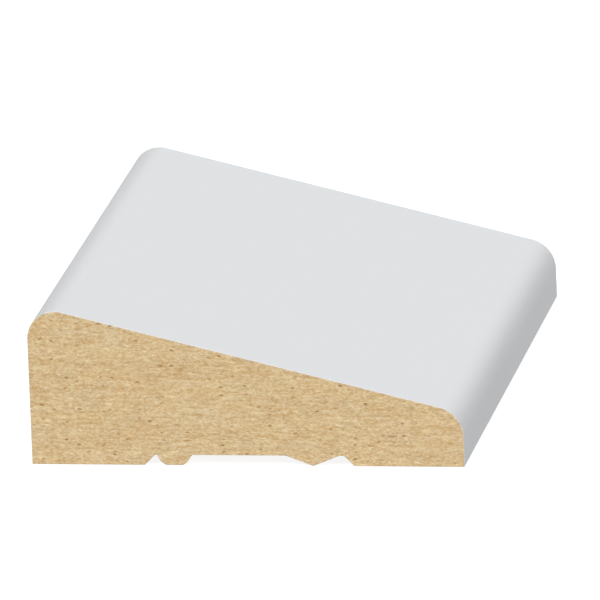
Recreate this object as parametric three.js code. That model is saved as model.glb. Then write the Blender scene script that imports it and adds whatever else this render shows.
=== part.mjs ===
// A length of tapered door casing, moulded in one piece from medium-density fibreboard (MDF).
// The face and both long edges are primed; the sawn ends and the machined back are bare board.
// It lies on its back. +X runs from the thick wall edge to the thin jamb edge, +Y along the
// length and +Z away from the wall. Millimetres, with the origin at the middle of the back.
import * as THREE from "three";

// Overall size
const WIDTH = 54;
const THICKNESS = 19.5;
const LENGTH = 80;

// The face falls from the wall edge to the jamb edge, and a round joins it to each edge
const FACE_SLOPE = THREE.MathUtils.degToRad(14.2);
const WALL_ROUND = 3.5;
const JAMB_ROUND = 3.9;

// The back is relieved between two flat lands, so that it can bridge the joint of wall and jamb.
// The relief opens and closes with a flank at 45 degrees.
const RELIEF_DEPTH = 1.3;
const WALL_LAND = 14.1;
const JAMB_LAND = 13.7;

// A bead runs along the relief on the wall side: a round rod, dressed flat level with the lands
const BEAD_CENTRE = -9.2;
const BEAD_RADIUS = 2.25;
const BEAD_RISE = 2;

// A ridge runs along it on the jamb side, with a sharp crest level with the lands
const RIDGE_START = 4.7;
const RIDGE_CREST = 8.15;
const RIDGE_END = 11.4;

// Each round of the section is drawn as twice this many straight facets
const ROUND_DIVISIONS = 12;

const PRIMER_COLOUR = new THREE.Color(0xdfe1e3);
const BOARD_COLOUR = new THREE.Color(0xd3b787);
const PRIMER_ROUGHNESS = 0.55;

// A triangle that looks along the length, or backwards, was never primed
const ALONG_LENGTH = 0.99;
const BACKWARDS = -0.01;

// Adds the machined back to the outline, from the wall edge's foot to the jamb edge's foot.
function traceBack(outline) {
  const wallFoot = -WIDTH / 2;
  const jambFoot = WIDTH / 2;
  const reliefStart = wallFoot + WALL_LAND;
  const reliefEnd = jambFoot - JAMB_LAND;

  outline.moveTo(wallFoot, 0);
  outline.lineTo(reliefStart, 0);
  outline.lineTo(reliefStart + RELIEF_DEPTH, RELIEF_DEPTH);

  // The bead's round meets the relief's floor, and then the lands' plane, at these angles
  const atFloor = Math.asin((BEAD_RISE - RELIEF_DEPTH) / BEAD_RADIUS);
  const atLands = Math.asin(BEAD_RISE / BEAD_RADIUS);
  outline.absarc(BEAD_CENTRE, BEAD_RISE, BEAD_RADIUS, Math.PI + atFloor, Math.PI + atLands, false);
  outline.absarc(BEAD_CENTRE, BEAD_RISE, BEAD_RADIUS, -atLands, -atFloor, false);

  outline.lineTo(RIDGE_START, RELIEF_DEPTH);
  outline.lineTo(RIDGE_CREST, 0);
  outline.lineTo(RIDGE_END, RELIEF_DEPTH);
  outline.lineTo(reliefEnd - RELIEF_DEPTH, RELIEF_DEPTH);
  outline.lineTo(reliefEnd, 0);
  outline.lineTo(jambFoot, 0);
}

// Adds the jamb edge, the sloping face and the wall edge, and ends where the back began.
function traceFace(outline) {
  const faceNormal = Math.PI / 2 - FACE_SLOPE;
  const wallCentre = new THREE.Vector2(WALL_ROUND - WIDTH / 2, THICKNESS - WALL_ROUND);
  const jambCentre = new THREE.Vector2(WIDTH / 2 - JAMB_ROUND, 0);

  // The face touches both rounds, so each centre lies its own radius below it
  const fall = (jambCentre.x - wallCentre.x) * Math.tan(FACE_SLOPE);
  const lift = (WALL_ROUND - JAMB_ROUND) / Math.cos(FACE_SLOPE);
  jambCentre.y = wallCentre.y - fall + lift;

  outline.absarc(jambCentre.x, jambCentre.y, JAMB_ROUND, 0, faceNormal, false);
  outline.absarc(wallCentre.x, wallCentre.y, WALL_ROUND, faceNormal, Math.PI, false);
  outline.closePath();
}

// The casing's cross-section, with its X across the width and its Y out from the back.
function casingSection() {
  const outline = new THREE.Shape();
  traceBack(outline);
  traceFace(outline);
  return outline;
}

// Colours each corner as primer or as bare board, by the way that its triangle looks.
function paintByNormal(geometry) {
  const normals = geometry.getAttribute("normal");
  const colours = new THREE.BufferAttribute(new Float32Array(normals.count * 3), 3);
  for (let i = 0; i < normals.count; i++) {
    const sawnEnd = Math.abs(normals.getZ(i)) > ALONG_LENGTH;
    const back = normals.getY(i) < BACKWARDS;
    const colour = sawnEnd || back ? BOARD_COLOUR : PRIMER_COLOUR;
    colours.setXYZ(i, colour.r, colour.g, colour.b);
  }
  geometry.setAttribute("color", colours);
}

// The moulded length: its section is drawn upright and runs along Y, centred on the origin.
function makeCasing() {
  const geometry = new THREE.ExtrudeGeometry(casingSection(), {
    depth: LENGTH,
    bevelEnabled: false,
    curveSegments: ROUND_DIVISIONS,
  });
  paintByNormal(geometry);

  const material = new THREE.MeshStandardMaterial({
    vertexColors: true,
    roughness: PRIMER_ROUGHNESS,
    metalness: 0,
  });
  const casing = new THREE.Mesh(geometry, material);
  casing.name = "door_casing";
  casing.rotation.x = Math.PI / 2;
  casing.position.y = LENGTH / 2;
  return casing;
}

const doorCasing = new THREE.Group();
doorCasing.add(makeCasing());

export default doorCasing;
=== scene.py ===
"""A length of tapered door casing in primed fibreboard (MDF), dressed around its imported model.

The casing lies on its back. +X runs from the thick wall edge to the thin jamb edge, +Y along
the length and +Z away from the wall. A smooth primer covers the face and both long edges. The
two ends are bare board as the saw left it, and the back is bare board as the cutters left it.
Lengths are in metres, written as millimetres times MM, but the patterns of the finishes are
measured in millimetres.
"""

import logging
import math
from abc import ABC, abstractmethod
from collections.abc import Iterator, Mapping, Sequence
from dataclasses import dataclass
from enum import Enum
from functools import cached_property
from typing import TypeAlias, Union

import bmesh
import bpy
import numpy as np
from mathutils import Matrix, Vector, geometry, noise


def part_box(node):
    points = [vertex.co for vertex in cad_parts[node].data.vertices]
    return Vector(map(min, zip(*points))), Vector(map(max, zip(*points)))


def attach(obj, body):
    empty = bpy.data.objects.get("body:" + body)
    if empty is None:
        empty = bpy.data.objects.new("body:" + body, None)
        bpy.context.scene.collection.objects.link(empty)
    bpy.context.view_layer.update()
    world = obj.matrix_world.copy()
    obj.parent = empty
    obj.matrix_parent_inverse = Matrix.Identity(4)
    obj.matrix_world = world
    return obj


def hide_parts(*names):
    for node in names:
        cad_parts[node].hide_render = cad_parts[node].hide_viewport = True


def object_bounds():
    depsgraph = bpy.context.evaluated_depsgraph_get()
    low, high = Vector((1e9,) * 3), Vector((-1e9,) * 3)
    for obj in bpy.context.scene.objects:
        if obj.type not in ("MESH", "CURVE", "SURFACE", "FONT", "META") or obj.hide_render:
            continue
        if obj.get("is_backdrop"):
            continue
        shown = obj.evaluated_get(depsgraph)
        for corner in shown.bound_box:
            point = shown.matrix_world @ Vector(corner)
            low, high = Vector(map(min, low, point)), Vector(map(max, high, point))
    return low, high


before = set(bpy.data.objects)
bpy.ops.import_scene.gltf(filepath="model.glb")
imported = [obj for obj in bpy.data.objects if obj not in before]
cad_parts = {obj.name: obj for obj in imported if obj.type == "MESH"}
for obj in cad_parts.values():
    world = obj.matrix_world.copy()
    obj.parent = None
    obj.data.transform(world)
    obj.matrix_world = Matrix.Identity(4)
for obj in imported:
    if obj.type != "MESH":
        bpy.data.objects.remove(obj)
CAD_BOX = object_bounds()

MM = 0.001
CASING_NODE = "door_casing"
CASING_BODY = "root"
BAKE_MAP = "OFBake"
LOG = logging.getLogger("door_casing")

# A stretch's direction is taken over this share of its length
HEADING_STEP = 0.002

# A stretch has short steps beside its eased corners where it is longer than this many of them
ROOM_FOR_SUPPORT = 4

Colour = tuple[float, float, float]
WHITE: Colour = (1.0, 1.0, 1.0)


class Skin(Enum):
    """What covers a part of the casing. The value is the finish's place among its materials."""

    PRIMED = 0
    SAWN = 1
    PLANED = 2


class End(Enum):
    """The two sawn ends. The value is the side of the origin that the end lies on."""

    NEAR = -1
    FAR = 1


@dataclass(frozen=True)
class Stretch(ABC):
    """One stretch of the section's outline, with the board on its left.

    Attributes:
        skin: what covers the surface along it.
        ease: radius that takes off the corner at its end, or 0 where the outline runs on.
    """

    skin: Skin
    ease: float

    @property
    @abstractmethod
    def length(self) -> float:
        """How long the stretch is."""

    @property
    @abstractmethod
    def longest_step(self) -> float:
        """How far apart its points may lie."""

    @abstractmethod
    def at(self, travelled: float) -> Vector:
        """The point of the outline after that distance along the stretch."""

    def heading(self, travelled: float) -> Vector:
        """The direction in which the outline runs there, taken over a short step.

        Args:
            travelled: distance along the stretch, from 0 to its length.

        Returns:
            A unit vector.
        """
        step = self.length * HEADING_STEP
        first = min(max(travelled - step / 2, 0.0), self.length - step)
        return (self.at(first + step) - self.at(first)).normalized()

    def stops(self, head: float, tail: float, support: float) -> list[float]:
        """Chooses where along the stretch the mesh has its points.

        Args:
            head: length given up to the eased corner before the stretch.
            tail: length given up to the eased corner at its end.
            support: length of a first and last short step beside an eased corner.

        Returns:
            Distances along the stretch, from head to its length less tail.
        """
        first = head
        last = self.length - tail
        roomy = last - first > support * ROOM_FOR_SUPPORT
        stops = [first]
        if head and roomy:
            first += support
            stops.append(first)
        held = last - support if tail and roomy else last
        steps = max(1, math.ceil((held - first) / self.longest_step))
        stops += [first + (held - first) * i / steps for i in range(1, steps + 1)]
        if held < last:
            stops.append(last)
        return stops


@dataclass(frozen=True)
class Straight(Stretch):
    """A straight stretch of the outline.

    Attributes:
        start: its first point, across and out from the back.
        end: its last point.
    """

    start: Vector
    end: Vector

    @property
    def length(self) -> float:
        """The distance between its two points."""
        return (self.end - self.start).length

    @property
    def longest_step(self) -> float:
        """Half a millimetre, so that the ends can be filled with even triangles."""
        return 0.5 * MM

    def at(self, travelled: float) -> Vector:
        """The point after that distance, on the straight line."""
        return self.start.lerp(self.end, travelled / self.length)


@dataclass(frozen=True)
class Round(Stretch):
    """A round stretch of the outline, turning to the left.

    Attributes:
        centre: the middle of its circle, across and out from the back.
        radius: of its circle.
        first: angle of its first point, in radians from the across direction.
        last: angle of its last point.
    """

    centre: Vector
    radius: float
    first: float
    last: float

    @property
    def length(self) -> float:
        """The length of the arc."""
        return self.radius * (self.last - self.first)

    @property
    def longest_step(self) -> float:
        """The length of arc that turns by five degrees."""
        return self.radius * math.radians(5)

    def at(self, travelled: float) -> Vector:
        """The point after that distance, on the arc."""
        angle = self.first + travelled / self.radius
        return self.centre + self.radius * Vector((math.cos(angle), math.sin(angle)))


@dataclass(frozen=True)
class OutlinePoint:
    """A point where the mesh follows the section's outline.

    Attributes:
        place: across and out from the back.
        inward: unit vector into the board, square to the outline.
        skin: what covers the surface from here to the next point.
        travelled: distance round the outline from its first point.
    """

    place: Vector
    inward: Vector
    skin: Skin
    travelled: float


class SectionPen:
    """Draws the section's outline as a chain of stretches, from corner to corner."""

    def __init__(self, start: Vector) -> None:
        """Sets the pen down.

        Args:
            start: the first point, across and out from the back.
        """
        self.place = start
        self.stretches: list[Stretch] = []
        self.take(Skin.PLANED)

    def take(self, skin: Skin, ease: float = 0.0) -> None:
        """Sets what covers the next stretches, and the radius that takes off the corners at their ends."""
        self.skin = skin
        self.ease = ease

    def line_to(self, across: float, out: float) -> None:
        """Draws a straight stretch.

        Args:
            across: where it ends, across the width.
            out: where it ends, out from the back.
        """
        end = Vector((across, out))
        self.stretches.append(Straight(self.skin, self.ease, self.place, end))
        self.place = end

    def arc(self, centre: Vector, radius: float, first: float, last: float) -> None:
        """Draws a round stretch that begins where the pen is.

        Args:
            centre: the middle of its circle.
            radius: of its circle.
            first: its first angle, in radians.
            last: its last angle.
        """
        drawn = Round(self.skin, self.ease, centre, radius, first, last)
        self.stretches.append(drawn)
        self.place = drawn.at(drawn.length)


@dataclass(frozen=True)
class CasingSection:
    """The section that the cutters give the board, and its outline as the mesh follows it.

    Attributes:
        width: across the back, from the wall edge to the jamb edge.
        thickness: out from the back to the top of the wall edge's round.
        face_slope: angle at which the face falls towards the jamb edge.
        wall_round: radius between the wall edge and the face.
        jamb_round: radius between the face and the jamb edge.
        relief_depth: depth of the back's relief, whose flanks lie at 45 degrees.
        wall_land: width of the flat land along the wall edge.
        jamb_land: width of the flat land along the jamb edge.
        bead_centre: where the middle of the bead lies across the relief.
        bead_radius: of the bead, which is a rod dressed flat level with the lands.
        bead_rise: how far the rod's centre lies out from the lands.
        ridge_start: where the ridge leaves the relief's floor on the wall side.
        ridge_crest: where its sharp crest lies, level with the lands.
        ridge_end: where it comes back to the floor on the jamb side.
        foot_ease: radius that takes off the two feet of the long edges.
        corner_ease: radius that takes off the other corners of the back.
        ease_steps: how many facets follow an eased corner.
        support: a short step that keeps the surface flat beside an eased corner.
    """

    width: float
    thickness: float
    face_slope: float = math.radians(14.2)
    wall_round: float = 3.5 * MM
    jamb_round: float = 3.9 * MM
    relief_depth: float = 1.3 * MM
    wall_land: float = 14.1 * MM
    jamb_land: float = 13.7 * MM
    bead_centre: float = -9.2 * MM
    bead_radius: float = 2.25 * MM
    bead_rise: float = 2.0 * MM
    ridge_start: float = 4.7 * MM
    ridge_crest: float = 8.15 * MM
    ridge_end: float = 11.4 * MM
    foot_ease: float = 0.15 * MM
    corner_ease: float = 0.1 * MM
    ease_steps: int = 4
    support: float = 0.1 * MM

    def draw_back(self, pen: SectionPen) -> None:
        """Draws the machined back, from the wall edge's foot to the jamb edge's foot.

        Args:
            pen: the pen, which stands at the wall edge's foot.
        """
        floor = self.relief_depth
        opens = self.wall_land - self.width / 2
        closes = self.width / 2 - self.jamb_land
        pen.take(Skin.PLANED, self.corner_ease)
        pen.line_to(opens, 0.0)
        pen.line_to(opens + floor, floor)

        centre = Vector((self.bead_centre, self.bead_rise))
        at_floor = math.asin((self.bead_rise - floor) / self.bead_radius)
        at_lands = math.asin(self.bead_rise / self.bead_radius)
        half_floor = self.bead_radius * math.cos(at_floor)
        half_foot = self.bead_radius * math.cos(at_lands)
        pen.line_to(self.bead_centre - half_floor, floor)
        pen.arc(centre, self.bead_radius, math.pi + at_floor, math.pi + at_lands)
        pen.line_to(self.bead_centre + half_foot, 0.0)
        pen.arc(centre, self.bead_radius, -at_lands, -at_floor)

        pen.line_to(self.ridge_start, floor)
        pen.line_to(self.ridge_crest, 0.0)
        pen.line_to(self.ridge_end, floor)
        pen.line_to(closes - floor, floor)
        pen.line_to(closes, 0.0)
        pen.take(Skin.PLANED, self.foot_ease)
        pen.line_to(self.width / 2, 0.0)

    def draw_face(self, pen: SectionPen) -> None:
        """Draws the jamb edge, the sloping face and the wall edge, back to the first foot.

        Args:
            pen: the pen, which stands at the jamb edge's foot.
        """
        square = math.pi / 2 - self.face_slope
        wall = Vector((self.wall_round - self.width / 2, self.thickness - self.wall_round))
        jamb = Vector((self.width / 2 - self.jamb_round, 0.0))

        # The face touches both rounds, so each centre lies its own radius below it
        fall = (jamb.x - wall.x) * math.tan(self.face_slope)
        lift = (self.wall_round - self.jamb_round) / math.cos(self.face_slope)
        jamb.y = wall.y - fall + lift

        pen.take(Skin.PRIMED)
        pen.line_to(self.width / 2, jamb.y)
        pen.arc(jamb, self.jamb_round, 0.0, square)
        start = wall + self.wall_round * Vector((math.cos(square), math.sin(square)))
        pen.line_to(start.x, start.y)
        pen.arc(wall, self.wall_round, square, math.pi)
        pen.take(Skin.PRIMED, self.foot_ease)
        pen.line_to(-self.width / 2, 0.0)

    def stretches(self) -> list[Stretch]:
        """The whole outline, from the wall edge's foot along the back and over the face.

        Returns:
            Its stretches in order.
        """
        pen = SectionPen(Vector((-self.width / 2, 0.0)))
        self.draw_back(pen)
        self.draw_face(pen)
        return pen.stretches

    def eased_points(self) -> Iterator[tuple[Vector, Skin]]:
        """Walks round the outline and takes off its corners.

        Yields:
            Each point, with what covers the surface from it to the next. The first point
            is where the back begins, past the eased foot of the wall edge.
        """
        stretches = self.stretches()
        trims = []
        for stretch, following in zip(stretches, stretches[1:] + stretches[:1]):
            bend = stretch.heading(stretch.length).angle(following.heading(0.0))
            trims.append(stretch.ease * math.tan(bend / 2))
        for i, stretch in enumerate(stretches):
            following = stretches[(i + 1) % len(stretches)]
            head, tail = trims[i - 1], trims[i]
            stops = stretch.stops(head, tail, self.support)
            yield from ((stretch.at(stop), stretch.skin) for stop in stops[:-1])
            if tail:
                # The primer goes round the eased feet
                skin = stretch.skin if stretch.skin is Skin.PRIMED else following.skin
                corner = stretch.at(stretch.length)
                yield from self.ease(stretch.at(stops[-1]), corner, following.at(tail), skin)

    def ease(
        self, start: Vector, corner: Vector, end: Vector, skin: Skin
    ) -> Iterator[tuple[Vector, Skin]]:
        """Rounds one corner.

        Args:
            start: where the round leaves the stretch before the corner.
            corner: the corner itself.
            end: where the round meets the stretch after it.
            skin: what covers the round.

        Yields:
            The points of the round, without its last one.
        """
        for i in range(self.ease_steps):
            share = i / self.ease_steps
            before = start.lerp(corner, share)
            after = corner.lerp(end, share)
            yield before.lerp(after, share), skin

    def outline(self) -> list[OutlinePoint]:
        """The closed outline as the mesh follows it, with the board on its left.

        Returns:
            The points in order.
        """
        walked = list(self.eased_points())
        count = len(walked)
        points = []
        travelled = 0.0
        for i, (place, skin) in enumerate(walked):
            after = walked[(i + 1) % count][0]
            along = (place - walked[i - 1][0]).normalized() + (after - place).normalized()
            inward = Vector((-along.y, along.x)).normalized()
            points.append(OutlinePoint(place, inward, skin, travelled))
            travelled += (after - place).length
        return points


@dataclass(frozen=True)
class Ring:
    """A closed loop of the mesh round the casing, parallel to its section.

    Attributes:
        inset: how far it is drawn in from the outline.
        along: where it lies along the length.
        unrolled: where it would lie with the rounded arrises rolled out flat.
    """

    inset: float
    along: float
    unrolled: float


@dataclass(frozen=True)
class SawnEnd:
    """The torn, fibrous surface that the saw leaves across the board.

    The fibres lie flat in the board, so its marks are longer across than they are high.

    Attributes:
        across_step: distance between the mesh's points across the end.
        out_step: distance between its rows of points.
        clear: width beside the outline that has no points of its own.
        fade: width beside the outline over which the marks grow to their full depth.
        fibre: length and height of the raised bundles of fibres.
        fibre_depth: how far the most raised stand above the least.
        pit: length and height of the small pits where a bundle came out.
        pit_depth: of the deepest pits.
        pit_threshold: value of the noise above which there is a pit.
        layer_gap: distance in the noise between the layers that the marks are taken from.
        jitter: how far a point strays from its even place, as a share of the steps.
        seed: of the points' random places.
    """

    across_step: float = 0.3 * MM
    out_step: float = 0.16 * MM
    clear: float = 0.14 * MM
    fade: float = 0.5 * MM
    fibre: tuple[float, float] = (1.1 * MM, 0.3 * MM)
    fibre_depth: float = 0.022 * MM
    pit: tuple[float, float] = (0.55 * MM, 0.3 * MM)
    pit_depth: float = 0.05 * MM
    pit_threshold: float = 0.3
    layer_gap: float = 5.0
    jitter: float = 0.3
    seed: int = 7

    def depth(self, place: np.ndarray, end: End) -> float:
        """How deep the surface lies below the plane of the cut.

        Args:
            place: across and out from the back.
            end: which of the two ends.

        Returns:
            A depth of 0 or more.
        """
        layer = 2 * self.layer_gap * end.value
        fibres = noise.noise(Vector((*(place / self.fibre), layer)))
        pits = noise.noise(Vector((*(place / self.pit), layer + self.layer_gap)))
        pit = max(0.0, pits - self.pit_threshold) / (1 - self.pit_threshold)
        return self.fibre_depth * (0.5 + 0.5 * fibres) + self.pit_depth * pit

    def scatter(self, border: np.ndarray, end: End) -> tuple[np.ndarray, np.ndarray]:
        """Scatters the mesh's points over the end.

        Args:
            border: the corners of the area to fill, in order.
            end: which of the two ends.

        Returns:
            The points, and how far each lies from the border.
        """
        rng = np.random.default_rng(self.seed + end.value)
        low, high = border.min(0), border.max(0)
        rows = np.arange(low[1], high[1], self.out_step)
        columns = np.arange(low[0], high[0], self.across_step)
        grid = np.stack(np.meshgrid(columns, rows), -1)
        grid[1::2, :, 0] += self.across_step / 2
        points = grid.reshape(-1, 2)
        strays = rng.uniform(-self.jitter, self.jitter, points.shape)
        points = points + strays * (self.across_step, self.out_step)
        inside = np.zeros(len(points), bool)
        nearest = np.full(len(points), np.inf)
        for a, b in zip(border, np.roll(border, -1, 0)):
            spans = (a[1] > points[:, 1]) != (b[1] > points[:, 1])
            if a[1] != b[1]:
                crossing = a[0] + (points[:, 1] - a[1]) * (b[0] - a[0]) / (b[1] - a[1])
                inside ^= spans & (points[:, 0] < crossing)
            edge = b - a
            share = ((points - a) @ edge / (edge @ edge)).clip(0, 1)
            gap = np.linalg.norm(points - a - share[:, None] * edge, axis=1)
            nearest = np.minimum(nearest, gap)
        kept = inside & (nearest > self.clear)
        return points[kept], nearest[kept]

    def fill(
        self, bm: bmesh.types.BMesh, loop: Sequence[bmesh.types.BMVert], end: End
    ) -> list[bmesh.types.BMFace]:
        """Fills one end with triangles, and presses its marks into them.

        Args:
            bm: the casing's mesh.
            loop: the vertices round the end, in the outline's order.
            end: which of the two ends.

        Returns:
            The triangles.
        """
        border = np.array([(vert.co.x, vert.co.z) for vert in loop])
        inner, nearest = self.scatter(border, end)
        plane = loop[0].co.y
        verts = list(loop)
        for place, gap in zip(inner, nearest):
            grown = min(gap / self.fade, 1.0)
            sunk = self.depth(place, end) * grown * grown * (3 - 2 * grown)
            verts.append(bm.verts.new((place[0], plane - end.value * sunk, place[1])))

        # Squeezed to an even grid, so that the triangles lie along the fibres
        squeeze = Vector((self.out_step / self.across_step, 1.0)) / MM
        flat = [Vector((vert.co.x * squeeze.x, vert.co.z * squeeze.y)) for vert in verts]
        count = len(loop)
        edges = [(i, (i + 1) % count) for i in range(count)]
        inside_only = 1
        closest = 1e-7
        _, _, triangles, made_from, *_ = geometry.delaunay_2d_cdt(flat, edges, [], inside_only, closest)
        faces = []
        for triangle in triangles:
            corners = [verts[made_from[i][0]] for i in triangle]
            if end is End.FAR:
                corners.reverse()
            faces.append(bm.faces.new(corners))
            faces[-1].material_index = Skin.SAWN.value
        return faces


@dataclass(frozen=True)
class FlatPattern:
    """Lays the casing's surfaces out flat, without overlap, for the bake of its finishes.

    The two ends have the finest detail, so they take the full width, one nested over the
    other. The primed and the planed surfaces lie side by side above them.

    Attributes:
        section: the casing's section.
        points: its outline.
        length: of the casing.
        margin: gap between the surfaces, as a share of the map.
        spare: room beside an end for its rounded arris.
    """

    section: CasingSection
    points: Sequence[OutlinePoint]
    length: float
    margin: float = 0.006
    spare: float = 0.2 * MM

    @cached_property
    def end_scale(self) -> float:
        """Map lengths for each metre of the sawn ends."""
        return (1 - 2 * self.margin) / (self.section.width + 2 * self.spare)

    @cached_property
    def girth(self) -> float:
        """The distance once round the outline."""
        gap = self.points[0].place - self.points[-1].place
        return self.points[-1].travelled + gap.length

    @cached_property
    def nested_height(self) -> float:
        """Height of the two ends together, one upright and one turned over above it.

        Returns:
            The height, with room for their arrises.
        """
        primed = [point.place for point in self.points if point.skin is Skin.PRIMED]
        above_feet = sorted((place.x, place.y) for place in primed if place.y > MM)
        across, out = np.array(above_feet).T
        tallest = (out + np.interp(-across, across, out)).max()

        # Each of the two has its spare room below and above
        return float(tallest) + 4 * self.spare

    def on_end(self, place: Vector, end: End) -> tuple[float, float]:
        """Where a point of a sawn end lies on the map.

        Args:
            place: across and out from the back.
            end: which of the two ends.

        Returns:
            The two coordinates.
        """
        across = self.section.width / 2 + self.spare - end.value * place.x
        out = place.y + self.spare
        if end is End.FAR:
            out = self.nested_height - out
        return self.margin + across * self.end_scale, self.margin + out * self.end_scale

    def on_side(self, travelled: float, unrolled: float, skin: Skin) -> tuple[float, float]:
        """Where a point of a long surface lies on the map.

        Args:
            travelled: distance round the outline.
            unrolled: place along the length, with the arrises rolled out.
            skin: what covers the surface.

        Returns:
            The two coordinates.
        """
        # There is a gap on both sides, and one between the planed and the primed surface
        across = travelled / self.girth * (1 - 3 * self.margin)
        if skin is Skin.PRIMED:
            across += self.margin
        foot = 2 * self.margin + self.nested_height * self.end_scale
        share = 0.5 + unrolled / (self.length + 2 * self.spare)
        return 1 - self.margin - across, foot + share * (1 - self.margin - foot)


Term: TypeAlias = Union["Signal", float, Colour]


class Signal:
    """A socket of a finish's node tree that Python expressions can use as a value."""

    def __init__(self, tree: "FinishTree", socket: bpy.types.NodeSocket) -> None:
        """Wraps an output socket of a node in the tree."""
        self.tree = tree
        self.socket = socket

    def __add__(self, other: Term) -> "Signal":
        """This plus another."""
        return self.tree.combine("ADD", self, other)

    def __radd__(self, other: Term) -> "Signal":
        """Another plus this."""
        return self.tree.combine("ADD", other, self)

    def __sub__(self, other: Term) -> "Signal":
        """This less another."""
        return self.tree.combine("SUBTRACT", self, other)

    def __rsub__(self, other: Term) -> "Signal":
        """Another less this."""
        return self.tree.combine("SUBTRACT", other, self)

    def __mul__(self, other: Term) -> "Signal":
        """This times another."""
        return self.tree.combine("MULTIPLY", self, other)

    def __rmul__(self, other: Term) -> "Signal":
        """Another times this."""
        return self.tree.combine("MULTIPLY", other, self)

    def __truediv__(self, other: Term) -> "Signal":
        """This divided by another."""
        return self.tree.combine("DIVIDE", self, other)

    def __rtruediv__(self, other: Term) -> "Signal":
        """Another divided by this."""
        return self.tree.combine("DIVIDE", other, self)

    def below(self, limit: Term) -> "Signal":
        """1 where this value is less than the limit, and 0 elsewhere."""
        return self.tree.combine("LESS_THAN", self, limit)

    def through(self, operation: str) -> "Signal":
        """This value after a Math operation that takes one value."""
        return self.tree.node("ShaderNodeMath", {"operation": operation}, {"Value": self})["Value"]

    def __abs__(self) -> "Signal":
        """This value without its sign."""
        return self.through("ABSOLUTE")

    def side(self) -> "Signal":
        """This value's sign, as 1 or -1."""
        return self.through("SIGN")

    def wave(self) -> "Signal":
        """The sine of this value, which is an angle in radians."""
        return self.through("SINE")

    def ramp(self, low: float, high: float) -> "Signal":
        """Turns a range of this value smoothly into 0 to 1.

        Args:
            low: the value that becomes 0.
            high: the value that becomes 1, which may be the lower one.

        Returns:
            The ramped value.
        """
        settings = {"interpolation_type": "SMOOTHSTEP"}
        sockets = {"Value": self, "From Min": low, "From Max": high}
        return self.tree.node("ShaderNodeMapRange", settings, sockets)["Result"]

    def axes(self) -> tuple["Signal", "Signal", "Signal"]:
        """The X, Y and Z of this vector."""
        found = self.tree.node("ShaderNodeSeparateXYZ", {}, {"Vector": self})
        return found["X"], found["Y"], found["Z"]

    def channels(self) -> tuple["Signal", "Signal", "Signal"]:
        """The red, green and blue of this colour."""
        found = self.tree.node("ShaderNodeSeparateColor", {}, {"Color": self})
        return found["Red"], found["Green"], found["Blue"]


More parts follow.
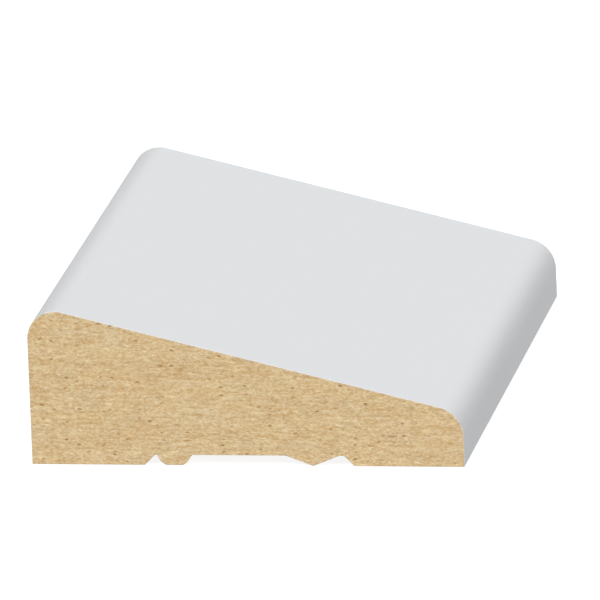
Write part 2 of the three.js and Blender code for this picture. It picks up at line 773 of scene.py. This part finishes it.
class FinishTree:
    """The node tree of one finish, written as expressions on its sockets."""

    def __init__(self, name: str) -> None:
        """Starts a material with an empty tree.

        Args:
            name: the finish's name.
        """
        self.material = bpy.data.materials.new(name)
        self.material.use_nodes = True
        self.tree = self.material.node_tree
        self.tree.nodes.clear()

    def node(
        self, kind: str, settings: Mapping[str, object], sockets: Mapping[str, Term]
    ) -> dict[str, Signal]:
        """Adds a node of any kind.

        Args:
            kind: the node's type.
            settings: its own properties, such as a Math node's operation, which are set first.
            sockets: values or links of its inputs, by identifier.

        Returns:
            Its outputs, by identifier.
        """
        made = self.tree.nodes.new(kind)
        for name, value in settings.items():
            setattr(made, name, value)
        inputs = {socket.identifier: socket for socket in made.inputs}
        for name, value in sockets.items():
            if isinstance(value, Signal):
                self.tree.links.new(value.socket, inputs[name])
            elif inputs[name].type == "RGBA":
                inputs[name].default_value = (*value, 1.0)
            elif inputs[name].type == "VECTOR" and not isinstance(value, tuple):
                inputs[name].default_value = (value, value, value)
            else:
                inputs[name].default_value = value
        return {socket.identifier: Signal(self, socket) for socket in made.outputs}

    def combine(self, operation: str, first: Term, second: Term) -> Signal:
        """Joins two values, vectors or colours by one operation.

        Args:
            operation: ADD, SUBTRACT, MULTIPLY or DIVIDE, or for values any Math operation.
            first: the left-hand side.
            second: the right-hand side.

        Returns:
            The result, a colour or a vector if either side is one.
        """
        terms = (first, second)
        kinds = {term.socket.type for term in terms if isinstance(term, Signal)}
        if "RGBA" in kinds:
            return self.mix(1.0, first, second, operation)
        if "VECTOR" in kinds or any(isinstance(term, tuple) for term in terms):
            sockets = {"Vector": first, "Vector_001": second}
            return self.node("ShaderNodeVectorMath", {"operation": operation}, sockets)["Vector"]
        sockets = {"Value": first, "Value_001": second}
        return self.node("ShaderNodeMath", {"operation": operation}, sockets)["Value"]

    def mix(self, share: Term, first: Term, second: Term, blend: str = "MIX") -> Signal:
        """Mixes two colours.

        Args:
            share: how much of the second colour there is, from 0 to 1.
            first: the colour below.
            second: the colour above.
            blend: how the second is laid on the first.

        Returns:
            The mixed colour.
        """
        settings = {"data_type": "RGBA", "blend_type": blend}
        sockets = {"Factor_Float": share, "A_Color": first, "B_Color": second}
        return self.node("ShaderNodeMix", settings, sockets)["Result_Color"]

    def vector(self, x: Term, y: Term, z: Term = 0.0) -> Signal:
        """Three values as one vector."""
        return self.node("ShaderNodeCombineXYZ", {}, {"X": x, "Y": y, "Z": z})["Vector"]

    def millimetres(self) -> tuple[Signal, Signal, Signal]:
        """The place on the casing: across, along and out, in millimetres."""
        place = self.node("ShaderNodeTexCoord", {}, {})["Object"]
        return (place * (1 / MM)).axes()

    def cover(self, sockets: Mapping[str, Term]) -> bpy.types.Material:
        """Ends the tree with its one surface.

        Args:
            sockets: the surface's own values and links.

        Returns:
            The finished material.
        """
        surface = self.node("ShaderNodeBsdfPrincipled", {}, sockets)["BSDF"]
        self.node("ShaderNodeOutputMaterial", {"target": "ALL"}, {"Surface": surface})
        return self.material

    def coat(
        self, surface: tuple[Signal, Signal], depth: float, roughness: Term, specular: float
    ) -> bpy.types.Material:
        """Ends the tree with an uneven surface.

        Args:
            surface: its colour and its height.
            depth: what a height of 1 stands for, in metres.
            roughness: how dull it is.
            specular: how strongly it shines.

        Returns:
            The finished material.
        """
        colour, height = surface
        bump = self.node("ShaderNodeBump", {}, {"Height": height, "Distance": depth})
        sockets = {
            "Base Color": colour,
            "Roughness": roughness,
            "Specular IOR Level": specular,
            "Normal": bump["Normal"],
        }
        return self.cover(sockets)


@dataclass(frozen=True)
class Grain:
    """The places on a surface, as its fibres or its sanding marks run.

    Attributes:
        tree: the finish's node tree.
        along: place along the fibres, in millimetres.
        off: place square to them.
    """

    tree: FinishTree
    along: Signal
    off: Signal

    def cells(self, length: float, height: float, shift: float = 0.0) -> Signal:
        """The places measured in cells, for a texture.

        Args:
            length: of a cell, along the fibres, in millimetres.
            height: of a cell, square to them.
            shift: how many cells the texture is moved by.

        Returns:
            The places as a vector.
        """
        along = self.along / length
        off = self.off / height
        if shift:
            along, off = along + shift, off - shift
        return self.tree.vector(along, off)


@dataclass(frozen=True)
class Drift:
    """A value that drifts softly over the surface, to either side of 0.

    Attributes:
        along: length of its patches along the fibres, in millimetres.
        off: their length square to the fibres.
        reach: how far the value goes to each side.
        detail: how many finer layers of patches there are.
    """

    along: float
    off: float
    reach: float
    detail: float = 1.0

    def value(self, grain: Grain) -> Signal:
        """The value at each place.

        Args:
            grain: the places on the surface.

        Returns:
            The value.
        """
        sockets = {"Vector": grain.cells(self.along, self.off), "Scale": 1.0, "Detail": self.detail}
        found = grain.tree.node("ShaderNodeTexNoise", {"noise_dimensions": "2D"}, sockets)

        # The noise itself keeps within a quarter of its middle, which is a half
        return (found["Fac"] - 0.5) * (4 * self.reach)


@dataclass(frozen=True)
class Bundles:
    """Bundles of fibre packed side by side, each of a colour of its own.

    Attributes:
        along: their length along the fibres, in millimetres.
        off: their height square to the fibres.
        softness: how far neighbours run into each other, from 0 to 1.
        reach: how far apart the darkest and the lightest tone are.
    """

    along: float
    off: float
    softness: float
    reach: float

    def tones(self, grain: Grain) -> tuple[Signal, Signal, Signal]:
        """The colour of the bundle at each place, as three values to either side of 0.

        Args:
            grain: the places on the surface.

        Returns:
            How light, how red and how green the bundle is.
        """
        settings = {"voronoi_dimensions": "2D", "feature": "SMOOTH_F1"}
        cells = grain.cells(self.along, self.off)
        sockets = {"Vector": cells, "Scale": 1.0, "Smoothness": self.softness}
        found = grain.tree.node("ShaderNodeTexVoronoi", settings, sockets)
        light, red, green = found["Color"].channels()
        return (light - 0.5) * self.reach, red - 0.5, green - 0.5


@dataclass(frozen=True)
class Flecks:
    """One sort of loose fleck, scattered at random. Lengths are in millimetres.

    Attributes:
        colour: of the flecks.
        strength: how much of the board's colour the strongest one hides.
        cell: length and height of the area that may hold one fleck.
        half: half of a large fleck's length and half of its height.
        share: how many of the cells hold one.
        seed: shifts the flecks, so that no two sorts fall together.
        tilt: how far one may lean, in radians either way.
        bend: how far its ends may curve away, for each millimetre along it.
        soft: share of the fleck over which its edge fades.
        relief: how far it stands out of the surface, in steps of the bump's depth.
    """

    colour: Colour
    strength: float
    cell: tuple[float, float]
    half: tuple[float, float]
    share: float
    seed: float
    tilt: float = 0.3
    bend: float = 0.1
    soft: float = 0.8
    relief: float = 0.0

    def mask(self, grain: Grain, crowding: Term) -> Signal:
        """Where the flecks are.

        Args:
            grain: the places on the surface.
            crowding: how many times more of them there are in some places.

        Returns:
            Up to 1 inside a fleck, and 0 between them.
        """
        cells = grain.cells(*self.cell, shift=self.seed)
        settings = {"voronoi_dimensions": "2D", "feature": "F1"}
        found = grain.tree.node("ShaderNodeTexVoronoi", settings, {"Vector": cells, "Scale": 1.0})
        chance, lean, size = found["Color"].channels()
        offset = (cells - found["Position"]) * (*self.cell, 0.0)
        settings = {"rotation_type": "Z_AXIS"}
        sockets = {"Vector": offset, "Angle": (lean - 0.5) * (2 * self.tilt)}
        turned = grain.tree.node("ShaderNodeVectorRotate", settings, sockets)["Vector"]
        along, off, _ = turned.axes()
        off = off + along * along * (size - 0.5) * (2 * self.bend)
        along = along / self.half[0]
        off = off / self.half[1]

        # The smallest are under a third of the largest in area, and the faintest a fifth as strong
        smallest = 0.3
        faintest = 0.2
        spread = (along * along + off * off) / (size * (1 - smallest) + smallest)
        limit = crowding * self.share
        strong = 1 - chance / limit * (1 - faintest)
        return spread.ramp(1.0, 1 - self.soft) * chance.below(limit) * strong

    def lay(
        self, grain: Grain, surface: tuple[Signal, Signal], crowding: Term = 1.0
    ) -> tuple[Signal, Signal]:
        """Lays the flecks on a surface.

        Args:
            grain: the places on the surface.
            surface: its colour and its height.
            crowding: how many times more of them there are in some places.

        Returns:
            The colour and the height of the surface with the flecks.
        """
        colour, height = surface
        mask = self.mask(grain, crowding)
        laid = grain.tree.mix(mask * self.strength, colour, self.colour)
        return laid, height + mask * self.relief


@dataclass(frozen=True)
class SawnBoard:
    """Bare fibreboard across the cut: pale brown bundles of fibre lying flat, with loose flecks.

    Attributes:
        base: the board's mean colour.
        spread: how much a lighter place adds to it.
        rust: how much a redder bundle adds to it.
        olive: how much a greener bundle adds to it.
        tinge: how much a warmer place adds to it.
        bundle: the small bundles of fibre.
        mat: larger ones that they lie in.
        streak: long soft streaks.
        band: broad bands.
        warmth: places that are warmer or cooler than the rest.
        layer: the layers in which dark flecks crowd together.
        ruffle: the waves that the fibres follow, in millimetres up and down.
        smudge: large soft dark flecks.
        pale: long pale fibres.
        short: short pale ones.
        speck: the few bluish specks.
        dark: flecks of bark.
        shive: long dark splinters.
        apart: how far off in the board each end's part of it lies, in millimetres.
        roughness: of the torn fibres.
        specular: how strongly they shine.
        raised: how far a lighter bundle stands out, in steps of the bump's depth.
        bump_depth: of the finest fibres.
    """

    base: Colour = (0.637, 0.468, 0.2585)
    spread: Colour = (0.042, 0.046, 0.038)
    rust: Colour = (0.028, -0.006, -0.022)
    olive: Colour = (-0.010, 0.016, -0.004)
    tinge: Colour = (0.007, -0.001, -0.009)
    bundle: Bundles = Bundles(0.27, 0.165, 0.3, 3.6)
    mat: Bundles = Bundles(0.85, 0.30, 0.5, 1.2)
    streak: Drift = Drift(3.0, 0.30, 0.9)
    band: Drift = Drift(22.0, 1.5, 0.5)
    warmth: Drift = Drift(5.0, 1.8, 1.0)
    layer: Drift = Drift(16.0, 1.0, 1.2)
    ruffle: Drift = Drift(5.0, 3.0, 0.08)
    smudge: Flecks = Flecks(
        colour=(0.38, 0.205, 0.065), strength=0.50, cell=(2.9, 1.9), half=(0.42, 0.26),
        share=0.30, seed=29.3, soft=1.0,
    )
    pale: Flecks = Flecks(
        colour=(0.86, 0.72, 0.44), strength=0.65, cell=(2.6, 0.9), half=(0.62, 0.13),
        share=0.40, seed=3.3, relief=0.25,
    )
    short: Flecks = Flecks(
        colour=(0.86, 0.72, 0.44), strength=0.70, cell=(1.2, 0.8), half=(0.27, 0.12),
        share=0.24, seed=7.1, tilt=0.7, bend=0.5, relief=0.2,
    )
    speck: Flecks = Flecks(
        colour=(0.30, 0.33, 0.37), strength=0.60, cell=(4.0, 4.0), half=(0.20, 0.15),
        share=0.06, seed=23.7, tilt=1.5,
    )
    dark: Flecks = Flecks(
        colour=(0.30, 0.145, 0.034), strength=0.80, cell=(1.5, 0.9), half=(0.38, 0.17),
        share=0.32, seed=11.9, relief=-0.3,
    )
    shive: Flecks = Flecks(
        colour=(0.32, 0.15, 0.04), strength=0.65, cell=(5.1, 3.1), half=(0.95, 0.14),
        share=0.18, seed=17.3, tilt=0.1, bend=0.04, relief=-0.2,
    )
    apart: tuple[float, float] = (131.7, 57.3)
    roughness: float = 0.92
    specular: float = 0.25
    raised: float = 0.1
    bump_depth: float = 0.03 * MM

    def material(self) -> bpy.types.Material:
        """Makes the finish.

        Returns:
            The material.
        """
        tree = FinishTree("sawn_fibreboard")
        across, along, out = tree.millimetres()
        end = along.side()
        level = Grain(tree, across + end * self.apart[0], out + end * self.apart[1])
        grain = Grain(tree, level.along, level.off + self.ruffle.value(level))

        small, red, green = self.bundle.tones(grain)
        large, _, _ = self.mat.tones(grain)
        fibres = small + self.streak.value(grain)
        tone = fibres + large + self.band.value(grain)
        colour = tone * self.spread + red * self.rust + green * self.olive + self.base
        colour = colour + self.warmth.value(grain) * self.tinge
        surface = (colour, fibres * self.raised)

        for sort in (self.smudge, self.pale, self.short, self.speck):
            surface = sort.lay(grain, surface)
        crowding = self.layer.value(grain) + 1.0
        for sort in (self.dark, self.shive):
            surface = sort.lay(grain, surface, crowding)
        return tree.coat(surface, self.bump_depth, self.roughness, self.specular)


@dataclass(frozen=True)
class PlanedBoard:
    """Bare fibreboard as the cutters leave the back: smoother, with its fibres lying every way.

    Attributes:
        half_width: of the casing, in millimetres.
        base: the board's mean colour.
        spread: how much a lighter place adds to it.
        rust: how much a redder bundle adds to it.
        bundle: the bundles of fibre.
        patch: broad patches.
        pale: pale fibres.
        dark: dark ones.
        mist: colour of the primer that strays round the feet.
        mist_cover: how much of the board the thickest of it hides.
        mist_reach: how far it strays, in millimetres.
        mist_edge: how it thins out there, from nothing to its thickest.
        speck: its single specks.
        wander: how it strays further in some places.
        ripple: pitch of the cutters' marks, in millimetres.
        ripple_height: how high they stand, in steps of the bump's depth.
        raised: how far a lighter bundle stands out, in the same steps.
        roughness: of the cut fibres.
        specular: how strongly they shine.
        bump_depth: of the fibres and the marks.
    """

    half_width: float
    base: Colour = (0.60, 0.435, 0.235)
    spread: Colour = (0.034, 0.034, 0.026)
    rust: Colour = (0.020, -0.004, -0.014)
    bundle: Bundles = Bundles(0.32, 0.32, 0.5, 3.0)
    patch: Drift = Drift(5.0, 9.0, 0.4)
    pale: Flecks = Flecks(
        colour=(0.80, 0.66, 0.40), strength=0.5, cell=(1.5, 1.5), half=(0.8, 0.09),
        share=0.6, seed=2.3, tilt=math.pi, bend=0.3, relief=0.15,
    )
    dark: Flecks = Flecks(
        colour=(0.31, 0.18, 0.07), strength=0.6, cell=(1.8, 1.8), half=(0.5, 0.09),
        share=0.4, seed=9.1, tilt=math.pi, bend=0.3, relief=-0.15,
    )
    mist: Colour = (0.70, 0.715, 0.73)
    mist_cover: float = 0.85
    mist_reach: float = 1.4
    mist_edge: tuple[float, float] = (-0.9, -0.3)
    speck: Drift = Drift(0.22, 0.22, 0.5)
    wander: Drift = Drift(3.0, 6.0, 0.4)
    ripple: float = 1.5
    ripple_height: float = 0.05
    raised: float = 0.1
    roughness: float = 0.75
    specular: float = 0.3
    bump_depth: float = 0.02 * MM

    def material(self) -> bpy.types.Material:
        """Makes the finish.

        Returns:
            The material.
        """
        tree = FinishTree("planed_fibreboard")
        across, along, _ = tree.millimetres()
        grain = Grain(tree, across, along)
        wander = self.wander.value(grain)
        marks = (along * (math.tau / self.ripple) + wander).wave()

        small, red, _ = self.bundle.tones(grain)
        tone = small + self.patch.value(grain)
        colour = tone * self.spread + red * self.rust + self.base
        surface = (colour, small * self.raised + marks * self.ripple_height)
        for sort in (self.pale, self.dark):
            surface = sort.lay(grain, surface)
        colour, height = surface

        # Spray that went round the feet: solid at the very edge, then thinning to specks
        inwards = (self.half_width - abs(across)) / self.mist_reach
        strayed = (self.speck.value(grain) + wander - inwards).ramp(*self.mist_edge)
        surface = (tree.mix(strayed * self.mist_cover, colour, self.mist), height)
        return tree.coat(surface, self.bump_depth, self.roughness, self.specular)


@dataclass(frozen=True)
class Primer:
    """Smooth white primer, sprayed on and sanded lightly along the length.

    Attributes:
        base: the primer's colour.
        tone_spread: how much a lighter place adds to it.
        roughness: its mean roughness.
        roughness_spread: how much a duller place adds to it.
        specular: how strongly it shines.
        peel: the faint orange peel of the spray.
        sanding: the sanding marks, along the length.
        sanding_height: how high they stand, in steps of the bump's depth.
        mottle: broad patches.
        nib: the few specks of dust caught in it.
        bump_depth: of the orange peel and the sanding marks.
    """

    base: Colour = (0.693, 0.708, 0.7235)
    tone_spread: Colour = (0.002, 0.002, 0.002)
    roughness: float = 0.6
    roughness_spread: float = 0.02
    specular: float = 0.15
    peel: Drift = Drift(1.4, 1.4, 0.5)
    sanding: Drift = Drift(0.16, 22.0, 1.0, detail=2.0)
    sanding_height: float = 0.3
    mottle: Drift = Drift(9.0, 30.0, 1.0)
    nib: Flecks = Flecks(
        colour=(0.72, 0.73, 0.74), strength=0.5, cell=(9.0, 9.0), half=(0.16, 0.12),
        share=0.35, seed=5.7, tilt=1.5, relief=4.0,
    )
    bump_depth: float = 0.002 * MM

    def material(self) -> bpy.types.Material:
        """Makes the finish.

        Returns:
            The material.
        """
        tree = FinishTree("white_primer")
        across, along, out = tree.millimetres()
        grain = Grain(tree, across - out, along)
        sanding = self.sanding.value(grain)
        worn = sanding + self.mottle.value(grain)
        height = self.peel.value(grain) + sanding * self.sanding_height
        surface = self.nib.lay(grain, (worn * self.tone_spread + self.base, height))
        roughness = worn * self.roughness_spread + self.roughness
        return tree.coat(surface, self.bump_depth, roughness, self.specular)


def add_object(name: str, data: bpy.types.ID) -> bpy.types.Object:
    """Adds an object to the scene.

    Args:
        name: the object's name.
        data: its mesh, light or camera.

    Returns:
        The object.
    """
    added = bpy.data.objects.new(name, data)
    bpy.context.scene.collection.objects.link(added)
    return added


def add_mesh(name: str, bm: bmesh.types.BMesh) -> bpy.types.Object:
    """Adds a finished mesh to the scene.

    Args:
        name: the object's name and the mesh's.
        bm: the mesh, which is freed.

    Returns:
        The object.
    """
    mesh = bpy.data.meshes.new(name)
    bm.to_mesh(mesh)
    bm.free()
    return add_object(name, mesh)


@dataclass(frozen=True)
class MouldedCasing:
    """The casing itself: one length of board with its section, its ends and its finishes.

    Attributes:
        section: the casing's section.
        length: of the casing.
        arris: radius of the worn edge round each sawn end.
        arris_steps: how many facets follow that radius.
        rim: narrow strip of the end's plane beside the arris.
        bare_strips: how many strips beside each end the saw left bare, the rim being the first.
        station_step: longest distance between the mesh's points along the length.
        sawn_end: the relief of the two ends.
        primer: finish of the face and the long edges.
        sawn: finish of the ends.
    """

    section: CasingSection
    length: float
    arris: float = 0.05 * MM
    arris_steps: int = 4
    rim: float = 0.03 * MM
    bare_strips: int = 2
    station_step: float = 1.6 * MM
    sawn_end: SawnEnd = SawnEnd()
    primer: Primer = Primer()
    sawn: SawnBoard = SawnBoard()

    @classmethod
    def of_node(cls, node: str) -> "MouldedCasing":
        """Takes the width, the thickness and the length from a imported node.

        Args:
            node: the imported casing's name.

        Returns:
            The casing.
        """
        low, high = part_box(node)
        size = high - low
        return cls(section=CasingSection(width=size.x, thickness=size.z), length=size.y)

    def rings(self) -> list[Ring]:
        """The mesh's loops, from just inside the near end's edge to just inside the far one's.

        Returns:
            The rings in order along the length.
        """
        plane = self.length / 2
        quarter = math.pi / 2
        rolled = plane + self.arris * (quarter - 1)
        near = [Ring(self.arris + self.rim, -plane, -rolled - self.rim)]
        for i in range(self.arris_steps + 1):
            angle = quarter * i / self.arris_steps
            inset = self.arris * (1 - math.sin(angle))
            along = self.arris * (1 - math.cos(angle)) - plane
            near.append(Ring(inset, along, self.arris * angle - rolled))
        far = [Ring(ring.inset, -ring.along, -ring.unrolled) for ring in reversed(near)]
        reach = plane - self.arris - self.section.support
        steps = math.ceil(2 * reach / self.station_step)
        stations = [reach * (2 * i / steps - 1) for i in range(steps + 1)]
        return near + [Ring(0.0, along, along) for along in stations] + far

    def wrap(
        self, bm: bmesh.types.BMesh, points: Sequence[OutlinePoint], pattern: FlatPattern
    ) -> list[list[bmesh.types.BMVert]]:
        """Makes the long surfaces and the rounded arrises.

        Args:
            bm: the casing's mesh.
            points: the section's outline.
            pattern: where each surface lies on the bake's map.

        Returns:
            The vertices of each ring.
        """
        uv = bm.loops.layers.uv[BAKE_MAP]
        rings = self.rings()
        loops = []
        for ring in rings:
            places = [point.place + point.inward * ring.inset for point in points]
            loops.append([bm.verts.new((place.x, ring.along, place.y)) for place in places])

        count = len(points)
        last_strip = len(rings) - 2
        for strip, (near, far) in enumerate(zip(rings, rings[1:])):
            end = End.NEAR if strip < self.bare_strips else End.FAR
            bare = min(strip, last_strip - strip) < self.bare_strips
            for i, point in enumerate(points):
                following = points[(i + 1) % count]

                # Back at the first point, the whole outline has been travelled
                travelled = following.travelled or pattern.girth
                verts = [loops[strip][i], loops[strip + 1][i]]
                verts += [loops[strip + 1][(i + 1) % count], loops[strip][(i + 1) % count]]
                face = bm.faces.new(verts)
                if bare:
                    face.material_index = Skin.SAWN.value
                    corners = [(point, near), (point, far), (following, far), (following, near)]
                    places = [pattern.on_end(self.rolled_out(p, ring), end) for p, ring in corners]
                else:
                    face.material_index = point.skin.value
                    corners = [(point.travelled, near), (point.travelled, far)]
                    corners += [(travelled, far), (travelled, near)]
                    places = [pattern.on_side(at, ring.unrolled, point.skin) for at, ring in corners]
                for loop, place in zip(face.loops, places):
                    loop[uv].uv = place
        return loops

    def rolled_out(self, point: OutlinePoint, ring: Ring) -> Vector:
        """Where a point of an arris lies, across and out, with the arris rolled out level with the end."""
        inset = abs(ring.unrolled) - self.length / 2 + self.arris * (2 - math.pi / 2)
        return point.place + point.inward * inset

    def build(self) -> bpy.types.Object:
        """Makes the casing's closed mesh.

        Returns:
            The casing as an object.
        """
        points = self.section.outline()
        pattern = FlatPattern(self.section, points, self.length)
        bm = bmesh.new()
        uv = bm.loops.layers.uv.new(BAKE_MAP)
        loops = self.wrap(bm, points, pattern)
        for end, loop in ((End.NEAR, loops[0]), (End.FAR, loops[-1])):
            for face in self.sawn_end.fill(bm, loop, end):
                for corner in face.loops:
                    place = Vector((corner.vert.co.x, corner.vert.co.z))
                    corner[uv].uv = pattern.on_end(place, end)
        for face in bm.faces:
            face.smooth = True
        return add_mesh("moulded_casing", bm)

    def dress(self, casing: bpy.types.Object) -> None:
        """Gives the casing its finishes, in the order of its skins.

        Args:
            casing: the casing's object.
        """
        planed = PlanedBoard(half_width=self.section.width / 2 / MM)
        finishes = {Skin.PRIMED: self.primer, Skin.SAWN: self.sawn, Skin.PLANED: planed}
        for skin in Skin:
            casing.data.materials.append(finishes[skin].material())

    def fit(self, casing: bpy.types.Object) -> None:
        """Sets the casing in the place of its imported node.

        Args:
            casing: the casing's object.
        """
        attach(casing, CASING_BODY)
        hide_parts(CASING_NODE)


@dataclass(frozen=True)
class Lamp:
    """One wide, distant light of the studio.

    Attributes:
        name: the lamp's name.
        comes_from: direction from the casing to the lamp.
        strength: of the light.
        angle: how wide it is, which makes its shadows soft.
        shines: whether it is mirrored in glossy surfaces.
    """

    name: str
    comes_from: tuple[float, float, float]
    strength: float
    angle: float = math.radians(30)
    shines: bool = True

    def hang(self) -> bpy.types.Object:
        """Makes the lamp.

        Returns:
            The lamp's object.
        """
        light = bpy.data.lights.new(self.name, "SUN")
        light.energy = self.strength
        light.angle = self.angle
        lamp = add_object(self.name, light)
        lamp.rotation_mode = "QUATERNION"
        lamp.rotation_quaternion = Vector(self.comes_from).to_track_quat("Z", "Y")
        lamp.visible_glossy = self.shines
        return lamp


@dataclass(frozen=True)
class Studio:
    """A plain pale floor under soft, even light.

    Attributes:
        floor_reach: how far the floor runs from the casing on each side.
        floor_drop: a hair's breadth between the casing's lands and the floor.
        floor_colour: of the floor.
        floor_roughness: of the floor.
        floor_glow: brightness that the floor has of its own, as a light table has.
        sky: brightness of the even light from all round.
        lamps: the lights over the near end, beside the jamb edge and behind the far end.
    """

    floor_reach: float = 4.0
    floor_drop: float = 0.01 * MM
    floor_colour: Colour = (0.25, 0.25, 0.25)
    floor_roughness: float = 0.9
    floor_glow: float = 0.88
    sky: float = 0.25
    lamps: tuple[Lamp, ...] = (
        Lamp("key_light", (-0.25, -0.50, 0.56), 2.36, angle=math.radians(20)),
        Lamp("fill_light", (0.45, -0.32, 0.135), 1.76, angle=math.radians(20), shines=False),
        Lamp("back_light", (0.0, 0.40, 0.13), 1.25, shines=False),
        Lamp("rim_light", (0.0, 1.0, 0.02), 0.8, angle=math.radians(8), shines=False),
    )

    def lay_floor(self) -> bpy.types.Object:
        """Makes the floor.

        Returns:
            The floor's object.
        """
        reach = self.floor_reach
        bm = bmesh.new()
        corners = [(-reach, -reach), (reach, -reach), (reach, reach), (-reach, reach)]
        bm.faces.new([bm.verts.new((x, y, -self.floor_drop)) for x, y in corners])
        floor = add_mesh("studio_floor", bm)
        sockets = {
            "Base Color": self.floor_colour,
            "Roughness": self.floor_roughness,
            "Specular IOR Level": 0.0,
            "Emission Color": WHITE,
            "Emission Strength": self.floor_glow,
        }
        floor.data.materials.append(FinishTree("pale_floor").cover(sockets))

        # The light from all round reaches the casing from below too, as in a light tent
        floor.visible_diffuse = False
        floor.visible_glossy = False
        floor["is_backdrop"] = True
        return floor

    def light(self) -> None:
        """Adds the even light and the lamps, and shows colours as they are."""
        world = bpy.data.worlds.new("studio_light")
        world.use_nodes = True
        background = world.node_tree.nodes["Background"]
        background.inputs["Strength"].default_value = self.sky
        background.inputs["Color"].default_value = (*WHITE, 1.0)
        bpy.context.scene.world = world
        for lamp in self.lamps:
            hung = lamp.hang()
            LOG.info("%s: %g strong", hung.name, lamp.strength)
        bpy.context.scene.view_settings.view_transform = "Standard"


@dataclass(frozen=True)
class Viewpoint:
    """The camera, far off behind a long lens, so that the casing is drawn almost without perspective.

    Attributes:
        lens: focal length, in Blender's own millimetres.
        azimuth: how far round from the near end the camera stands.
        elevation: how far it looks down.
        roll: how far it is turned about its own axis.
        distance: from the aim to the camera.
        aim: the point that it goes round.
        shift: how far it stands off to the right and up from there.
    """

    lens: float = 1100.0
    azimuth: float = math.radians(9.499)
    elevation: float = math.radians(15.018)
    roll: float = math.radians(-2.181)
    distance: float = 2.2955
    aim: tuple[float, float, float] = (0.0, 0.0, 8.0 * MM)
    shift: tuple[float, float] = (0.47 * MM, 2.214 * MM)

    def place(self) -> bpy.types.Object:
        """Makes the camera.

        Returns:
            The camera's object.
        """
        level = math.cos(self.elevation)
        back = Vector(
            (math.sin(self.azimuth) * level, -math.cos(self.azimuth) * level, math.sin(self.elevation))
        )
        right = Vector((0.0, 0.0, 1.0)).cross(back).normalized()
        up = back.cross(right)
        turned_right = right * math.cos(self.roll) + up * math.sin(self.roll)
        turned_up = up * math.cos(self.roll) - right * math.sin(self.roll)
        lens = bpy.data.cameras.new("camera")
        lens.lens = self.lens
        camera = add_object("camera", lens)
        axes = Matrix((turned_right, turned_up, back)).transposed()
        offset = turned_right * self.shift[0] + turned_up * self.shift[1]
        place = Vector(self.aim) + back * self.distance + offset
        camera.matrix_world = Matrix.Translation(place) @ axes.to_4x4()
        bpy.context.scene.camera = camera
        return camera


def write_sizes() -> None:
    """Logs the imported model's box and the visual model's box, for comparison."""
    boxes = {"cad": CAD_BOX, "visual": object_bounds()}
    sizes = {name: [list(corner) for corner in box] for name, box in boxes.items()}
    LOG.info("sizes: %s", sizes)


def main() -> None:
    """Makes the casing and its studio, one after the other."""
    logging.basicConfig(level=logging.INFO, format="%(name)s: %(message)s")
    studio = Studio()
    floor = studio.lay_floor()
    studio.light()
    LOG.info("%s: %g m across", floor.name, 2 * studio.floor_reach)

    camera = Viewpoint().place()
    LOG.info("%s: %g mm lens", camera.name, camera.data.lens)

    casing = MouldedCasing.of_node(CASING_NODE)
    piece = casing.build()
    casing.dress(piece)
    casing.fit(piece)
    LOG.info("%s: %d faces", piece.name, len(piece.data.polygons))
    write_sizes()


if __name__ == "__main__":
    main()
